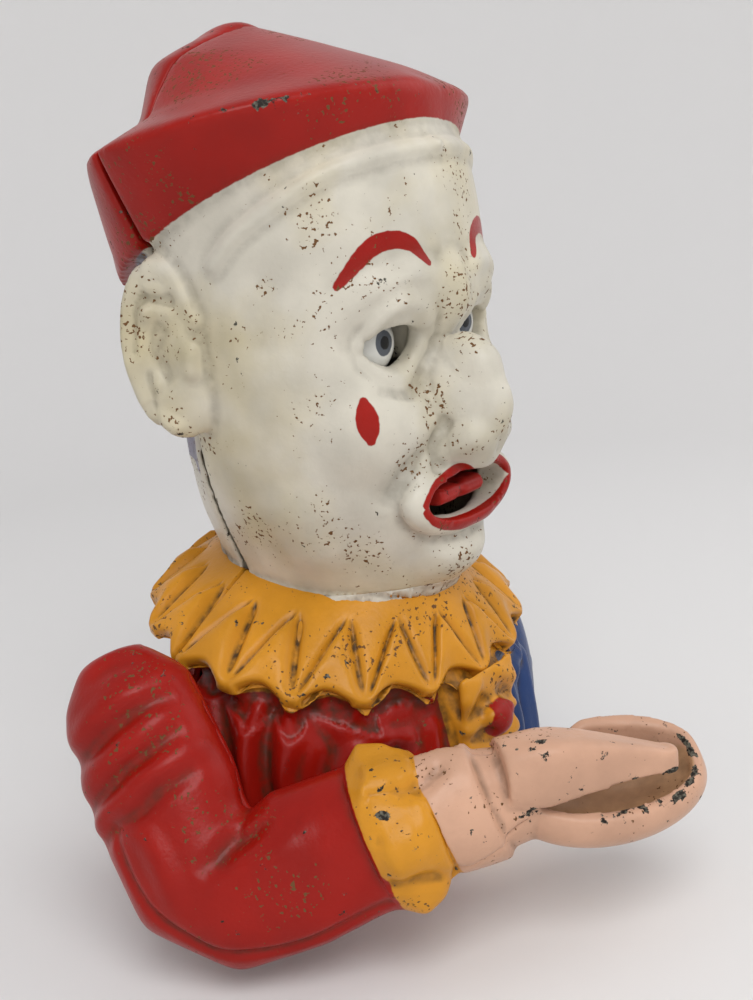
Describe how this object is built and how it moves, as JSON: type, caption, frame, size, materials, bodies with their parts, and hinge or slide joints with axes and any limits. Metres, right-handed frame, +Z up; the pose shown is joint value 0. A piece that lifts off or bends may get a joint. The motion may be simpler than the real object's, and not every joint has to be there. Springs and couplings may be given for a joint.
{
  "type": "mechanical coin bank",
  "caption": "Cast-iron clown bust coin bank whose right arm lifts a coin to the mouth while the tongue swings back and the eyes roll, with a coin trap underneath.",
  "frame": {"origin": "on the table plane, in the middle of the bust's width, on the seam between the two castings", "axes": "+Z up, the face looks along -Y, +X to the figure's left"},
  "size_m": [0.1382, 0.1487, 0.19],
  "materials": {
    "painted_front": "aged enamel paint on cast iron",
    "painted_rear": "aged enamel paint on cast iron",
    "painted_arm": "aged enamel paint on cast iron",
    "painted_eye": "white paint on cast iron",
    "painted_tongue": "red paint on cast iron",
    "bare_iron": "bare dark cast iron",
    "steel": "dull steel",
    "brass": "dull brass"
  },
  "bodies": {
    "bust": {"front_casting": "painted_front", "rear_casting": "painted_rear", "base_plate": "bare_iron", "case_screws": "steel", "base_screws": "steel", "axle_bushes": "brass", "lever_pin": "steel", "tongue_pin": "steel", "rod_bracket": "steel", "bracket_screws": "steel", "trap_screw": "steel", "trap_stop": "steel"},
    "arm": {"arm_outer_half": "painted_arm", "arm_inner_half": "painted_arm", "arm_screws": "steel", "arm_axle": "steel", "lever_crank": "bare_iron", "lift_cam": "bare_iron", "crank_pins": "steel"},
    "lever": {"thumb_lever": "bare_iron"},
    "rod": {"lift_rod": "steel", "rod_collar": "steel"},
    "eyes": {"eye_shaft": "steel", "eye_tail": "bare_iron", "right_eye": "painted_eye", "left_eye": "painted_eye"},
    "tongue": {"tongue": "painted_tongue"},
    "trap": {"trap_cover": "steel"}
  },
  "joints": [
    {"name": "arm_lift", "type": "hinge", "parent": "bust", "child": "arm", "pos_m": [-0.05, 0, 0.034], "axis": [-1, 0, 0], "range_deg": [0, 40]},
    {"name": "lever_press", "type": "hinge", "parent": "bust", "child": "lever", "pos_m": [0.0245, 0.014, 0.036], "axis": [-1, 0, 0], "range_deg": [0, 17]},
    {"name": "rod_rise", "type": "slide", "parent": "bust", "child": "rod", "axis": [0, 0, 1], "range_m": [0, 0.0089]},
    {"name": "eye_roll", "type": "hinge", "parent": "bust", "child": "eyes", "pos_m": [0, -0.0332, 0.12], "axis": [1, 0, 0], "range_deg": [0, 27]},
    {"name": "tongue_swing", "type": "hinge", "parent": "bust", "child": "tongue", "pos_m": [0, -0.038, 0.098], "axis": [1, 0, 0], "range_deg": [0, 24]},
    {"name": "trap_turn", "type": "hinge", "parent": "bust", "child": "trap", "pos_m": [0.002, -0.008, 0.002], "axis": [0, 0, 1], "range_deg": [0, 110]}
  ],
  "couplings": [
    {"joint": "lever_press", "follows": "arm_lift", "ratio": 0.425},
    {"joint": "rod_rise", "follows": "arm_lift", "m_per_rad": 0.012748},
    {"joint": "eye_roll", "follows": "arm_lift", "ratio": 0.675},
    {"joint": "tongue_swing", "follows": "arm_lift", "ratio": 0.6}
  ]
}
